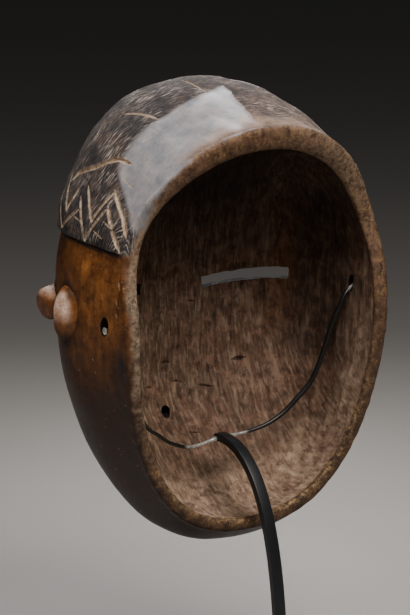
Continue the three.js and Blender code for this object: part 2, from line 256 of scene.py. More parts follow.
def eye_hollow(x, z):
    """How far the face is cut back round the eyes, deepest towards the temples."""
    shallow, deeper, half_tall = 5.0, 11.0, 20.0
    out = np.abs(x)
    deep = shallow + deeper * smooth(50.0, 94.0, out)
    across = smooth(8.0, 22.0, out) * (1.0 - smooth(93.0, 101.0, out))
    return deep * across * np.exp(-(((z - EYE_Z) / half_tall) ** 4))


def cap_step(z):
    """The dark cap's brim stands out above its edge and the face is cut back below it."""
    brim_height, brim_spread, recess_spread = 12.0, 16.0, 14.0
    above = CAP_BRIM * bell(z - CAP_EDGE - brim_height, brim_spread)
    below = -CAP_RECESS * bell(z - CAP_EDGE, recess_spread)
    return below + (above - below) * smooth(CAP_EDGE - 0.5, CAP_EDGE + 0.5, z)


def face_points(angle, rise):
    c, s = profile(rise, around(angle, FACE_POWER))
    swell = np.sin(RIGHT_ANGLE * np.minimum(s / around(angle, SWELL_REACH), 1.0))
    base = rim_radius(angle) + around(angle, FACE_SWELL) * swell ** around(angle, SWELL_POWER)
    step = cap_step(base * c * np.cos(angle)) * smooth(0.0, 0.12, s)
    radius = (base + step) * c
    x = radius * np.sin(angle)
    z = radius * np.cos(angle)
    front = FACE_DEPTH * fall_back(x, z, FALL_BACK) + muzzle(x, z) + mouth_block(x, z) + step
    hollow = eye_hollow(x, z) * smooth(0.62, 0.9, s)
    return np.stack([x, front * s + bow(z) * (1.0 - s) ** 2 - hollow, z], axis=-1)


def hollow_points(angle, rise):
    c, s = profile(rise, around(angle, HOLLOW_POWER))
    swell = np.sin(RIGHT_ANGLE * np.minimum(s / HOLLOW_SWELL_REACH, 1.0))
    inside = rim_radius(angle) - around(angle, RIM_THICKNESS)
    radius = (inside + around(angle, HOLLOW_SWELL) * swell) * c
    x = radius * np.sin(angle)
    z = radius * np.cos(angle)
    front = HOLLOW_DEPTH * fall_back(x, z, HOLLOW_FALL_BACK) + HOLLOW_MUZZLE_SHARE * muzzle(x, z)
    return np.stack([x, front * s + bow(z) * (1.0 - s) ** 2, z], axis=-1)


def rim_points(angle, share):
    """The rounded edge of the rim, from the face at 0 to the hollow at 1."""
    turn = pi * share
    inward = (1.0 - np.sign(np.cos(turn)) * np.abs(np.cos(turn)) ** (2.0 / RIM_ROUNDNESS)) / 2.0
    back = around(angle, RIM_CROWN) * np.sin(turn) ** (2.0 / RIM_ROUNDNESS)
    radius = rim_radius(angle) - around(angle, RIM_THICKNESS) * inward
    x = radius * np.sin(angle)
    z = radius * np.cos(angle)
    return np.stack([x, bow(z) - back, z], axis=-1)


def wall_points(spots):
    """Places on the mask's wall. A spot is an angle round the mask and a way along the wall:
    0 to 1 from the middle of the face to the rim, 1 to 2 over the rim, 2 to 3 into the hollow."""
    angle, along = spots.T
    points = np.empty((len(spots), 3))
    for part in range(3):
        here = np.minimum(along.astype(int), 2) == part
        turn, share = angle[here], along[here] - part
        if part == 0:
            points[here] = face_points(turn, RIGHT_ANGLE * (1.0 - share))
        elif part == 1:
            points[here] = rim_points(turn, share)
        else:
            points[here] = hollow_points(turn, RIGHT_ANGLE * share)
    return points


def last_rise(angle, holds):
    """The rise at each angle up to which a test holds, found by halving."""
    low = np.zeros_like(angle)
    high = np.full_like(angle, RIGHT_ANGLE)
    for _ in range(HALVINGS):
        middle = (low + high) / 2
        held = holds(middle)
        low = np.where(held, middle, low)
        high = np.where(held, high, middle)
    return low


def on_face(degrees, depth):
    """The spot at an angle round the mask whose place on the face lies at a depth f."""
    angle = np.radians(degrees)
    rise = last_rise(angle, lambda rise: face_points(angle, rise)[:, 1] < depth)
    return np.stack([angle, 1.0 - rise / RIGHT_ANGLE], axis=-1)


def in_hollow(x, z):
    """The spot at the front of the hollow at a place across and a height."""
    angle, wanted = np.arctan2(x, z), np.hypot(x, z)
    rise = last_rise(
        angle, lambda rise: np.hypot(*hollow_points(angle, rise)[:, ::2].T) > wanted
    )
    return np.stack([angle, 2.0 + rise / RIGHT_ANGLE], axis=-1)


def stroke_places(strokes, find):
    """Close-set places along each stroke, with its half-width and depth there, thin at its ends."""
    rows = []
    for width, depth, points in strokes:
        points = np.array(points, dtype=float)
        length = np.linalg.norm(np.diff(wall_points(find(*points.T)), axis=0), axis=1)
        reach = summed(length)
        steps = np.linspace(0.0, reach[-1], max(int(reach[-1] / STROKE_STEP), 4))
        path = np.stack([np.interp(steps, reach, points[:, i]) for i in range(2)], axis=-1)
        places = wall_points(find(*path.T))
        ends = np.minimum(steps, reach[-1] - steps)
        full = STROKE_TIP + (1.0 - STROKE_TIP) * smooth(0.0, STROKE_TAPER, ends)
        rows.append(np.column_stack([places, width / 2 * full, depth * full]))
    return np.concatenate(rows)


def mirrored(strokes):
    """The same strokes on the mask's right side, a little out of true, as a hand cuts them."""
    return tuple(
        (width, depth, tuple((-degrees - 1.0, f * 0.98 + 1.0) for degrees, f in points))
        for width, depth, points in strokes
    )


FACE_STROKES = ZIGZAG + (LONG_GOUGE,) + CROWN_STROKES + SCRATCHES + NICKS
FACE_STROKES += mirrored(ZIGZAG + (LONG_GOUGE,))
face_cuts = stroke_places(FACE_STROKES, on_face)
hollow_cuts = stroke_places(CHISEL_CUTS, in_hollow)


def cut_depth(points, cuts, here):
    """How deep each point lies in the nearest stroke, and how far inside its edges, 0 to 1."""
    tree = KDTree(len(cuts))
    for i, row in enumerate(cuts):
        tree.insert(row[:3], i)
    tree.balance()
    nearest, distance = np.array([tree.find(point)[1:] for point in points[here]]).T
    half, depth = cuts[nearest.astype(int), 3:].T
    deep, inside = np.zeros((2, len(points)))
    deep[here] = depth * np.maximum(1.0 - (distance / half) ** 2, 0.0)
    inside[here] = 1.0 - smooth(0.75, 1.25, distance / half)
    return deep, inside


def near_strokes(points, cuts, reach):
    """Whether each point lies within about a reach of a stroke, by numbered cells of that size."""
    steps = np.stack(np.meshgrid(*[(-1, 0, 1)] * 3), axis=-1).reshape(-1, 3)
    scale = np.array([1, 1000, 1000000])
    cells = np.floor(cuts[:, :3] / reach).astype(int)
    spread = np.unique((cells[:, None] + steps).reshape(-1, 3) @ scale)
    return np.isin(np.floor(points / reach).astype(int) @ scale, spread)


def wanted_length(points, along):
    """The longest side that a triangle of the wall may have, by what is carved there."""
    f, z = points[:, 1:].T
    outside, inside = along < 0.999, along > 2.001
    length = np.where(outside, FACE_SIDE, np.where(inside, HOLLOW_SIDE, RIM_SIDE))
    length[outside & (z > CAP_EDGE) & (f < 75.0)] = CAP_SIDE
    at_edge = outside & (np.abs(z - CAP_EDGE) < 4.5)
    length[at_edge] = np.maximum(0.7 * np.abs(z - CAP_EDGE + 0.4), 0.9)[at_edge]
    for reach, fine in NEAR_STROKE:
        length[outside & near_strokes(points, face_cuts, reach)] = fine
        length[inside & near_strokes(points, hollow_cuts, reach)] = fine
    return length


def halfway(first, second):
    """The middle of each edge on the wall, the short way round, and straight from a pole."""
    turn = (second[:, 0] - first[:, 0] + pi) % (2 * pi) - pi
    middle = (first + second) / 2
    middle[:, 0] = first[:, 0] + turn / 2
    for one, other in ((first, second), (second, first)):
        pole = (one[:, 1] == 0.0) | (one[:, 1] == 3.0)
        middle[pole, 0] = other[pole, 0]
    return middle


def divided(faces, cuts):
    """Each triangle divided along its cut sides, where cuts holds the new point of a side or -1."""
    count = (cuts >= 0).sum(axis=1)
    turned = {}
    for number in (1, 2):
        some, new = faces[count == number], cuts[count == number]
        lone = np.argmax(new >= 0, axis=1) if number == 1 else (np.argmin(new >= 0, axis=1) + 1) % 3
        order = (lone[:, None] + np.arange(3)) % 3
        turned[number] = np.take_along_axis(some, order, 1).T, np.take_along_axis(new, order, 1).T
    (a, b, c), (m, _, _) = turned[1]
    out = [faces[count == 0], np.stack([a, m, c], -1), np.stack([m, b, c], -1)]
    (a, b, c), (m, n, _) = turned[2]
    out += [np.stack([m, b, n], -1), np.stack([a, m, n], -1), np.stack([a, n, c], -1)]
    (a, b, c), (m, n, o) = faces[count == 3].T, cuts[count == 3].T
    out += [np.stack(corner, -1) for corner in ((a, m, o), (m, b, n), (o, n, c), (m, n, o))]
    return np.concatenate(out)


def wall_grid(columns=96, face_rows=24, rim_rows=4, hollow_rows=20):
    """The first coarse triangles of the wall, from the face's middle round to the hollow's."""
    rows = np.concatenate([
        np.arange(1, face_rows) / face_rows,
        1.0 + np.arange(rim_rows) / rim_rows,
        2.0 + np.arange(hollow_rows) / hollow_rows,
    ])
    spots = [(0.0, 0.0), *((angle, row) for row in rows for angle in circle(columns)), (0.0, 3.0)]
    faces = []
    for i in range(columns):
        right = (i + 1) % columns
        faces.append((0, 1 + right, 1 + i))
        for row in range(len(rows) - 1):
            near, far = 1 + row * columns, 1 + (row + 1) * columns
            faces.append((near + i, near + right, far + right))
            faces.append((near + i, far + right, far + i))
        last = 1 + (len(rows) - 1) * columns
        faces.append((len(spots) - 1, last + i, last + right))
    return np.array(spots), np.array(faces)


def fine_wall():
    """The wall's triangles, divided until each is as small as the carving there needs."""
    spots, faces = wall_grid()
    for _ in range(REFINEMENTS):
        points = wall_points(spots)
        sides = np.stack([faces, np.roll(faces, -1, axis=1)], axis=-1).reshape(-1, 2)
        edges, which = np.unique(np.sort(sides, axis=1), axis=0, return_inverse=True)
        first, second = edges.T
        length = np.linalg.norm(points[first] - points[second], axis=1)
        middle = (points[first] + points[second]) / 2
        along = (spots[first, 1] + spots[second, 1]) / 2
        long = length > wanted_length(middle, along)
        new = np.full(len(edges), -1)
        new[long] = len(spots) + np.arange(long.sum())
        spots = np.concatenate([spots, halfway(spots[first[long]], spots[second[long]])])
        faces = divided(faces, new[which.ravel()].reshape(-1, 3))
    return spots, faces


def waves(points, size, seed, count=24):
    """Steady noise of about one size, in millimetres, that mostly stays within -2 to 2."""
    random = np.random.default_rng(seed)
    directions = random.normal(size=(count, 3))
    directions /= np.linalg.norm(directions, axis=1)[:, None]
    lengths = size * random.uniform(0.7, 1.6, count)
    phases = random.uniform(0.0, 2 * pi, count)
    swing = np.cos(points @ (directions / lengths[:, None]).T * 2 * pi + phases)
    return swing.sum(axis=1) / sqrt(count / 2)


def jitter(across, down, seed):
    """Two steady random numbers for each cell of a grid, from -0.5 to 0.5."""
    mixed = np.sin(across * 127.1 + down * 311.7 + seed * 74.7) * 43758.5453
    first = mixed - np.floor(mixed)
    second = first * 917.3 - np.floor(first * 917.3)
    return first - 0.5, second - 0.5


def tool_cuts(u, v, wide, long, seed):
    """Overlapping tool cuts: 0 along the bottom of each, rising to the ridges between them."""
    across, down = np.floor(u / wide), np.floor(v / long)
    nearest = np.full(u.shape, 1.0)
    for i in (-1, 0, 1):
        for j in (-1, 0, 1):
            a, b = jitter(across + i, down + j, seed)
            du = u / wide - across - i - 0.5 - 0.8 * a
            dv = v / long - down - j - 0.5 - 0.8 * b
            nearest = np.minimum(nearest, du * du + dv * dv)
    return nearest


def normals_of(points, faces):
    a, b, c = (points[faces[:, i]] for i in range(3))
    across = np.cross(b - a, c - a)
    total = np.zeros_like(points)
    for corner in range(3):
        for axis in range(3):
            total[:, axis] += np.bincount(faces[:, corner], across[:, axis], len(points))
    return total / np.linalg.norm(total, axis=1)[:, None]


def burnished(degrees, f):
    """The rubbed, shining patch over the cap's back, with a crisp edge just past the top."""
    crisp_edge = 1.5 - (f - 24.0) * 0.1
    far_edge = np.interp(degrees, *BURNISH_REACH)
    side = smooth(0.0, 0.6, degrees - crisp_edge) * (1.0 - smooth(60.0, 70.0, degrees))
    side *= 1.0 - 0.3 * smooth(25.0, 60.0, degrees)
    blurred = 4.0 + 5.0 * bell(degrees - 42.0, 14.0)
    return side * (1.0 - smooth(-1.0, 0.5, (f - far_edge) / blurred))


def ear_gap(f, z):
    """How far a place on the side lies from the ear and from the boss in front of it."""
    ear_half_deep, boss_radius = 10.0, 11.0
    ear = np.hypot((f - EAR_DEPTH) / ear_half_deep, (z - EAR_Z) / EAR_HALF_TALL) - 1.0
    boss = np.hypot(f - BOSS_DEPTH, z - BOSS_Z) - boss_radius
    return np.maximum(np.minimum(ear * ear_half_deep, boss), 0.0)


def carved_wall():
    """The mask's shell with its tool marks and strokes, and the finish, painted shade and painted
    light that each place has.
    """
    spots, faces = fine_wall()
    points = wall_points(spots)
    angle, along = spots.T
    degrees = (np.degrees(angle) + 180.0) % 360.0 - 180.0
    x, f, z = points.T.copy()
    outside, inside = along < 1.0, along > 2.0
    normals = normals_of(points * (1, -1, 1), faces) * (1, -1, 1)
    if ((points - points.mean(axis=0))[outside] * normals[outside]).sum() < 0:
        faces = faces[:, ::-1]
        normals = -normals

    cap = np.where(along < 2.0, smooth(CAP_EDGE - 0.4, CAP_EDGE + 0.4, z), 0.0)
    from_rim = f - bow(z)
    wear = from_rim / (np.interp(degrees, *WEAR_WIDTH) * (1.0 + 0.15 * waves(points, 14.0, 3)))
    start = np.interp(degrees, *RIM_START)
    worn_top = (1.0 - smooth(0.0, 0.15, start)) * smooth(0.0, 0.4, np.cos(angle))
    start += 0.04 * waves(points, 8.0, 4)
    rim = np.where(outside, (1.0 - smooth(0.1, 1.5, wear)) * worn_top, 0.0)
    rim = np.where(outside, rim, np.maximum(smooth(-0.16, 0.16, along - 1.0 - start), rim))
    rim = np.where(inside, 1.0 - smooth(0.0, 1.2, from_rim + 0.3 * waves(points, 5.0, 4)), rim)
    rim_edge = np.where(outside, bell(wear - 0.9, 0.7) * worn_top, 0.0)
    shine = np.where(along < 2.0, burnished(degrees + 0.25 * waves(points, 12.0, 5), f), 0.0)
    deep, stroke = cut_depth(points, face_cuts, outside)
    dent, chiselled = cut_depth(points, hollow_cuts, inside)

    # The knife's facets and slow waves outside, the burnished patch rubbed down, the groove under
    # the cap, and the wood left standing round the ears and bosses
    knife = tool_cuts(degrees * 1.9, f, *KNIFE_MARKS) - 0.3
    relief = (0.15 + 0.65 * cap) * knife + (0.14 + 0.12 * cap) * waves(points, 26.0, 6)
    relief = relief * smooth(2.0, 16.0, from_rim) - 0.8 * shine * smooth(0.0, 14.0, from_rim)
    groove_depth, groove_drop, groove_half = 0.7, 0.6, 0.9
    groove = np.maximum(1.0 - ((z - CAP_EDGE + groove_drop) / groove_half) ** 2, 0.0)
    relief = outside * (relief - groove_depth * groove)
    gap = ear_gap(f, z)
    at_side = outside & (np.abs(x) > 80.0) & (z < 15.0) & (z > -55.0)
    relief += at_side * 1.1 * np.exp(-gap / 2.0)

    # The chisel's marks in the hollow, which follow the way that the wall faces, and its fibres
    facing = np.abs(normals) ** 4
    facing /= facing.sum(axis=1)[:, None]
    marks = sum(
        facing[:, way] * tool_cuts(u, v, *size)
        for way, u, v, size in zip((1, 0, 2), (x, f, x), (z, z, f), CHISEL_MARKS)
    )
    fibres = waves(points * (1.0, 1.0, 0.12), 3.2, 7)
    hollow_relief = 2.4 * (marks - 0.3) + 0.16 * fibres + 0.25 * waves(points, 38.0, 8)
    relief += inside * hollow_relief * smooth(0.0, 6.0, from_rim)
    relief += (~outside & ~inside) * 0.12 * waves(points, 7.0, 9)
    relief -= deep + dent

    # How far each finish, painted shade and painted light shows, from 0 to 1, and where each place
    # lies in the board and round it
    low_face = outside * (z < CAP_EDGE)
    seam = outside * (np.abs(z - CAP_EDGE + 1.0) < 1.6)
    from_top = np.abs(degrees)
    masks = {
        "cap": cap,
        "rim": rim,
        "rim_edge": rim_edge,
        "shine": shine,
        "stroke": stroke,
        # Painted shade in the chisel cuts of the hollow
        "chiselled": chiselled,
        "hollow": np.where(along < 2.0, 0.0, smooth(0.0, 2.0, from_rim)),
        "rubbed": low_face * 0.22 * smooth(100.0, 128.0, f),
        # Painted shade: darker round the foot of the ears and bosses and in the seam under the
        # cap's edge
        "grime": at_side * np.exp(-gap / 2.5) + seam * smooth(-0.4, 0.4, CAP_EDGE - z),
        "soot": outside * bell(degrees - 110.0, 6.0) * bell(from_rim - 3.5, 4.5),
        "warm": bell(z - 2.0, 44.0) * np.where(
            outside, bell(f - 40.0, np.where(f < 40.0, 50.0, 34.0)), 0.4 * (along < 2.0)
        ) + outside * 0.5 * smooth(70.0, 115.0, f) * smooth(-165.0, -60.0, z),
        "grain": grain_places(points, angle, outside),
        "round": unrolled(points),
        # Painted shade: the rim's shadow over the top of the hollow, a little lighter on the right
        "smoke": inside * smooth(-15.0, 45.0, z) * (1.0 - 0.35 * smooth(-45.0, -80.0, x)),
        # Painted highlight on the ridges between the chisel cuts
        "ridge": inside * smooth(0.22, 0.6, marks),
        # Painted shadow down the right wall of the hollow beside its front
        "sooty": inside * smooth(-66.0, -86.0, x) * smooth(22.0, 44.0, f)
        * (1.0 - smooth(72.0, 90.0, f)) * smooth(-78.0, -55.0, z) * (1.0 - smooth(30.0, 60.0, z)),
        # Painted light: a paler pool where the light falls on the lower right wall and the bottom
        # of the hollow, near the rim
        "dusty": inside * np.maximum(
            0.7 * smooth(-55.0, -85.0, x) * (1.0 - smooth(20.0, 34.0, f)) * smooth(-12.0, -32.0, z),
            smooth(-100.0, -132.0, z) * (1.0 - smooth(36.0, 58.0, f)),
        ),
        "amber": inside * bell(f - 85.0, 6.0) * smooth(-60.0, -76.0, x) * bell(z + 15.0, 45.0),
        "olive": inside * smooth(-25.0, 25.0, x),
        "flecked": ~outside * smooth(1.4, 1.8, along) * (1.0 - smooth(1.0, 5.0, from_rim))
        * smooth(110.0, 165.0, from_top),
        "low": smooth(60.0, 128.0, from_top),
        "pale": np.minimum(bell(degrees - 98.0, 34.0) + 0.5 * bell(degrees + 40.0, 26.0), 1.0),
        "brown": smooth(25.0, -30.0, degrees) * (1.0 - smooth(35.0, 105.0, f)),
    }
    return points + normals * relief[:, None], faces.tolist(), masks


def grain_places(points, angle, outside):
    """Where each point lies in a board whose grain runs up the face and on over its two ends."""
    x, f, z = points.T
    face = FACE_DEPTH * fall_back(x, z, FALL_BACK) + muzzle(x, z)
    hollow = HOLLOW_DEPTH * fall_back(x, z, HOLLOW_FALL_BACK) + HOLLOW_MUZZLE_SHARE * muzzle(x, z)
    behind = np.where(outside, face, hollow) - f
    end = np.cos(angle) * smooth(0.5, 0.95, np.abs(np.cos(angle)))
    return np.stack([x, behind * (1.0 - np.abs(end)), z + behind * end], axis=-1)


def unrolled(points):
    """The cap laid out flat: round it as seen from a low centre, and back from its front."""
    x, f, z = points.T
    centre, above, radius, stretch = -80.0, 110.0, 113.0, 1.3
    turn = np.arctan2(x, z - centre)
    side = above * np.cos(turn) + np.sqrt(radius**2 - (above * np.sin(turn)) ** 2)
    round_it = stretch * radius * turn
    return np.stack([round_it, f + side - np.hypot(x, z - centre), 0.0 * z], axis=-1)


# What each part of the wood carries for its material, beside its places in the board and round it
MASKS = (
    "cap rim rim_edge shine stroke chiselled hollow rubbed grime soot warm smoke ridge sooty dusty "
    "amber olive flecked low pale brown"
).split()


def placed(name, data):
    """A new object in the scene."""
    made = bpy.data.objects.new(name, data)
    bpy.context.scene.collection.objects.link(made)
    return made


def closed_piece(name, points, faces):
    """An object from the points and faces of a closed skin, whose faces are made to point out."""
    mesh = bpy.data.meshes.new(name)
    mesh.from_pydata(points.tolist(), [], faces)
    sheet = bmesh.new()
    sheet.from_mesh(mesh)
    if sheet.calc_volume(signed=True) < 0.0:
        bmesh.ops.reverse_faces(sheet, faces=sheet.faces)
        sheet.to_mesh(mesh)
    sheet.free()
    return placed(name, mesh)


def wooden_piece(name, points, faces, masks):
    """A closed mesh in the mask's own frame, in millimetres, with its finish on face corners."""
    made = closed_piece(name, points * (1.0, -1.0, 1.0), faces)
    attributes = made.data.attributes
    corners = np.empty(len(made.data.loops), dtype=np.int32)
    made.data.loops.foreach_get("vertex_index", corners)
    for mask in MASKS:
        values = np.broadcast_to(masks.get(mask, 0.0), len(points))[corners].astype(np.float32)
        attributes.new(mask, "FLOAT", "CORNER").data.foreach_set("value", values)
    for places in ("grain", "round"):
        values = (masks.get(places, points) * MM)[corners].astype(np.float32).ravel()
        attributes.new(places, "FLOAT_VECTOR", "CORNER").data.foreach_set("vector", values)
    return made


def lofted(rings):
    """Points and faces of a closed skin over rings with the same number of points each."""
    count = len(rings[0])
    points = np.concatenate([np.asarray(ring, dtype=float) for ring in rings])
    last = len(points) - count
    faces = [
        (row + i, row + (i + 1) % count, row + count + (i + 1) % count, row + count + i)
        for row in range(0, last, count)
        for i in range(count)
    ]
    faces += [tuple(range(count))[::-1], tuple(range(last, last + count))]
    return points, faces


def nose_piece():
    """A long straight ridge, wider and higher towards its cut-off tip."""
    top, long, foot, brow, reach, rows = 48.0, 122.0, 109.0, 115.0, 42.0, 60
    base_top, base_gain, crest_top, crest_gain = 9.0, 11.0, 4.4, 2.2
    rounding = ((1.0, 0.0), (0.93, 0.45), (0.75, 0.75), (0.4, 0.95))
    low = foot + 4.5
    rings = []
    for row in range(-3, rows + 4):
        t = min(max(row / rows, 0.0), 1.0)
        end = max(-row, row - rows, 0)
        shrink = 1.0 - 0.03 * end**1.6
        z = top - long * t - copysign(0.55 * sqrt(end), t - 0.5)
        ridge = foot + (brow - 3.0 * t + reach * t**0.9 - foot) * shrink
        base = (base_top + base_gain * t) * shrink
        crest = (crest_top + crest_gain * t) * shrink
        half = [
            (base + 2.0 * smooth(0.0, 8.0, foot + 3.0 - f), f) for f in (foot, foot + 2.0, low)
        ]
        for k in np.linspace(0.0, 1.0, 12)[1:-1]:
            half.append((crest + (base - crest) * (1.0 - k) ** 1.25, low + (ridge - 2.0 - low) * k))
        half += [(crest * c, ridge - 2.4 + 2.4 * s) for c, s in rounding]
        section = half + [(-x, f) for x, f in reversed(half)]
        rings.append([(x, f, z) for x, f in section])
    points, faces = lofted(rings)
    worn = smooth(-6.0, 0.0, points[:, 1] - (brow + 0.36 * (top - points[:, 2])))
    return wooden_piece("nose_part", points, faces, {"rubbed": 0.4 * worn, "warm": 0.55})


def ball_points(columns, rows):
    """Places on a ball of radius one, and its faces."""
    angles = circle(columns)
    rings = []
    for row in range(rows + 1):
        turn = pi * min(max(row / rows, 0.004), 0.996)
        rings.append(np.column_stack([
            np.sin(turn) * np.cos(angles),
            np.sin(turn) * np.sin(angles),
            np.full(columns, np.cos(turn)),
        ]))
    return lofted(rings)


def lip_piece(side):
    """A full lip, thinner towards the corners of the mouth."""
    half_wide, half_tall, apart, foot, reach, root, taper = 31.0, 10.0, 8.5, 113.0, 22.0, 9.0, 0.35
    ball, faces = ball_points(64, 36)
    along, across, forward = ball.T
    full = 1.0 - taper * np.abs(along)
    points = np.column_stack([
        half_wide * along,
        foot + np.where(forward > 0.0, reach, root) * full * forward,
        MOUTH_BLOCK_Z + side * apart * full + half_tall * full * across,
    ])
    masks = {"rubbed": 0.3 * smooth(0.4, 1.0, forward), "warm": 0.6}
    return wooden_piece("lip_part", points, faces, masks)


def ear_piece(side):
    """An ear: a smooth upright ridge with a blunt low end, its middle bent a little forward."""
    reach, half_deep, back_deeper, bend, low_bend = 10.0, 11.0, 5.0, 4.0, 3.5
    ball, faces = ball_points(48, 44)
    deep, out, tall = ball.T
    deep = np.sign(deep) * np.abs(deep) ** 0.85
    blunt = np.where(tall < 0.0, (1.03 - tall**2) ** -0.12, 1.0)
    bent = low_bend * smooth(0.0, -1.0, tall) - bend * (tall**2 - 0.5)
    points = np.column_stack([
        side * (RIM_HALF_WIDTH + reach * out * blunt),
        EAR_DEPTH + (half_deep + back_deeper * smooth(0.0, -1.0, deep)) * deep * blunt + bent,
        EAR_Z + EAR_HALF_TALL * tall,
    ])
    points[:, 0] += side * 0.12 * waves(points, 7.0, 11)
    masks = {
        # Painted highlight on the ear's lit upper crest, and painted shade over its lower end and
        # its front towards the boss
        "rubbed": smooth(0.6, 0.9, out) * smooth(-0.4, 0.1, tall),
        "warm": 0.8,
        "grime": 0.9 * smooth(0.2, 0.9, -tall) + 0.6 * smooth(0.3, 0.9, deep),
    }
    return wooden_piece("ear_part", points, faces, masks)


def boss_piece(side):
    """A boss at the temple: a short round stub, rounded at both ends and a little waisted."""
    middle, radius, half_long, rounding, lean = 101.0, 11.2, 9.5, 6.0, radians(12.0)
    half = []
    for a in (RIGHT_ANGLE * i / 8 for i in range(9)):
        inwards, back = rounding * (1 - cos(a)), rounding * (1 - sin(a))
        half.append((radius - inwards, half_long - back))
    half.append((0.3, half_long))
    angles = circle(56)
    rings = []
    for r, h in [(r, -h) for r, h in reversed(half)] + half:
        waist = r * (1.0 - 0.05 * cos(RIGHT_ANGLE * h / half_long))
        ring = [np.full(56, h), waist * np.cos(angles), waist * np.sin(angles)]
        rings.append(np.column_stack(ring))
    local, faces = lofted(rings)
    out, deep, tall = local.T
    points = np.column_stack([
        side * (middle + out * cos(lean) + tall * sin(lean)),
        BOSS_DEPTH + deep,
        BOSS_Z - out * sin(lean) + tall * cos(lean),
    ])
    masks = {
        # Painted highlight over the boss's top, and painted shade on its inner end and underneath
        "rubbed": 0.45 * smooth(0.4, 1.0, tall / radius) * smooth(-0.2, 0.6, out / half_long),
        "warm": 0.62,
        "grime": smooth(0.2, -0.8, out / half_long) + 0.7 * smooth(0.3, 0.9, -tall / radius),
    }
    return wooden_piece("boss_part", points, faces, masks)


def hollow_fill():
    """The space inside the mask, a little enlarged, so that no added piece reaches into it."""
    angles = circle(72)
    rings = []
    for rise in np.linspace(0.995, 0.0, 24) * RIGHT_ANGLE:
        ring = hollow_points(angles, np.full(72, rise))
        rings.append(ring * (1.02, 1.0, 1.015) + (0.0, 1.5, 0.0))
    rings.append(rings[-1] * (1.0, 0.0, 1.0) - (0.0, 30.0, 0.0))
    return wooden_piece("hollow_fill", *lofted(rings), {})


def slit_outline(outer):
    """The eye slit seen from behind: a long hand-cut slot with a nick above and blunt corners."""
    inner, top = EYE_INNER, EYE_TALL / 2
    span = outer - inner
    upper = (
        (inner + 0.1, -0.5), (inner + 0.8, 0.0), (inner + 0.3 * span, 0.15),
        (inner + 0.32 * span, -0.5), (inner + 0.36 * span, -0.45), (inner + 0.375 * span, 0.1),
        (outer - 1.4, 0.1), (outer - 0.3, -0.6),
    )
    lower = (
        (outer, 1.0), (outer - 0.9, 0.1), (inner + 0.6 * span, -0.1), (inner + 0.25 * span, 0.15),
        (inner + 0.5, 0.0),
    )
    return [(x, top + h) for x, h in upper] + [(x, h - top) for x, h in lower]


def slit_cutter(side):
    """The eye slit: its outer end is cut at a slant, wider on the face."""
    middle = (EYE_INNER + EYE_OUTER) / 2
    flared = EYE_OUTER + EYE_FLARE
    rings = [
        [
            (side * x, f, EYE_Z + h + (x - middle) * sin(EYE_SLANT))
            for x, h in slit_outline(outer)
        ]
        for f, outer in ((60.0, EYE_OUTER), (81.0, EYE_OUTER), (103.4, flared), (135.0, flared))
    ]
    # The slit's walls carry painted shade
    return wooden_piece("slit_cutter", *lofted(rings), {"grime": 1.0})


def hole_cutter(place, axis, half_wide, half_tall, long, flare, slant):
    """A drilled hole, worn wider at both of its mouths, and slanted towards +x at its back."""
    angles = circle(28)
    rings = []
    for share in np.linspace(-1.0, 1.0, 13):
        wide = 1.0 + flare * smooth(0.1, 0.5, abs(share))
        ring = np.zeros((28, 3))
        ring[:, axis] = share * long / 2
        ring[:, 1 - axis] = half_wide * wide * np.cos(angles)
        ring[:, 2] = half_tall * wide * np.sin(angles)
        ring[:, 0] -= ring[:, 1] * tan(slant)
        rings.append(ring + place)
    # The hole's walls carry painted shade
    return wooden_piece("hole_cutter", *lofted(rings), {"grime": 0.9})


def join(body, pieces, operation):
    """Adds the pieces to the body or cuts them from it."""
    for piece in pieces:
        change = body.modifiers.new(piece.name, "BOOLEAN")
        change.operation = operation
        change.solver = "MANIFOLD"
        change.object = piece


def carved_mask(wood):
    """The wall with its nose, lips, ears and bosses added, and its slits and holes cut."""
    points, faces, masks = carved_wall()
    body = wooden_piece("carved_mask", points, faces, masks)
    added = [nose_piece(), lip_piece(1), lip_piece(-1)]
    added += [make(side) for side in (1, -1) for make in (ear_piece, boss_piece)]
    cut = [slit_cutter(side) for side in (1, -1)] + [hole_cutter(*hole) for hole in HOLES]
    fill = hollow_fill()
    for piece in added:
        join(piece, [fill], "DIFFERENCE")
    join(body, added, "UNION")
    join(body, cut, "DIFFERENCE")
    ready = body.evaluated_get(bpy.context.evaluated_depsgraph_get())
    mesh = bpy.data.meshes.new_from_object(ready)
    body.modifiers.clear()
    body.data = mesh
    for piece in added + cut + [fill]:
        bpy.data.objects.remove(piece)
    mesh.transform(HUNG)
    finish_mesh(body, wood, 38.0)
    return body


def finish_mesh(piece, material, crease):
    """Smooth faces with creases kept where they turn sharply, and one material."""
    mesh = piece.data
    mesh.materials.clear()
    mesh.materials.append(material)
    mesh.polygons.foreach_set("material_index", np.zeros(len(mesh.polygons), dtype=np.int32))
    mesh.polygons.foreach_set("use_smooth", np.ones(len(mesh.polygons), dtype=bool))
    mesh.set_sharp_from_angle(angle=radians(crease))
    mesh.update()


# The cradle wire, bent by hand from one side hole, down inside the rim, to the other, as x, y
# and z in the mask's own frame
WIRE_BENDS = (
    (-97, -29.5, -11.5), (-88.5, -28, -18), (-84, -28, -28), (-79, -28.5, -40), (-75.5, -29, -53),
    (-71, -30, -68), (-66, -31, -79), (-57, -32, -88.5), (-48, -33, -97), (-36, -34, -103.5),
    (-20, -35.5, -107.5), (0, -36.5, -108.6), (25.5, -34.5, -111), (43, -33, -105),
    (52.5, -32, -98.5), (63, -31, -91), (76, -29, -68), (85, -26, -40), (88.5, -23.5, -24),
    (94, -22.3, -19.9), (106, -22, -19.4),
)
WIRE_RADIUS = 1.2 * MM

# The share by which the wire is thicker in its solder beside the bar, down its right side and
# in its head at the left, and thinner at its right end
SOLDERED, HEAVIER, HEADED, THINNED = 0.55, 0.42, 1.25, 0.35

# Which points of a row blend between which knots at each step of the spline
SPLINE_SPANS = (((0, 1), (1, 2), (2, 3)), ((0, 2), (1, 3)), ((1, 2),))


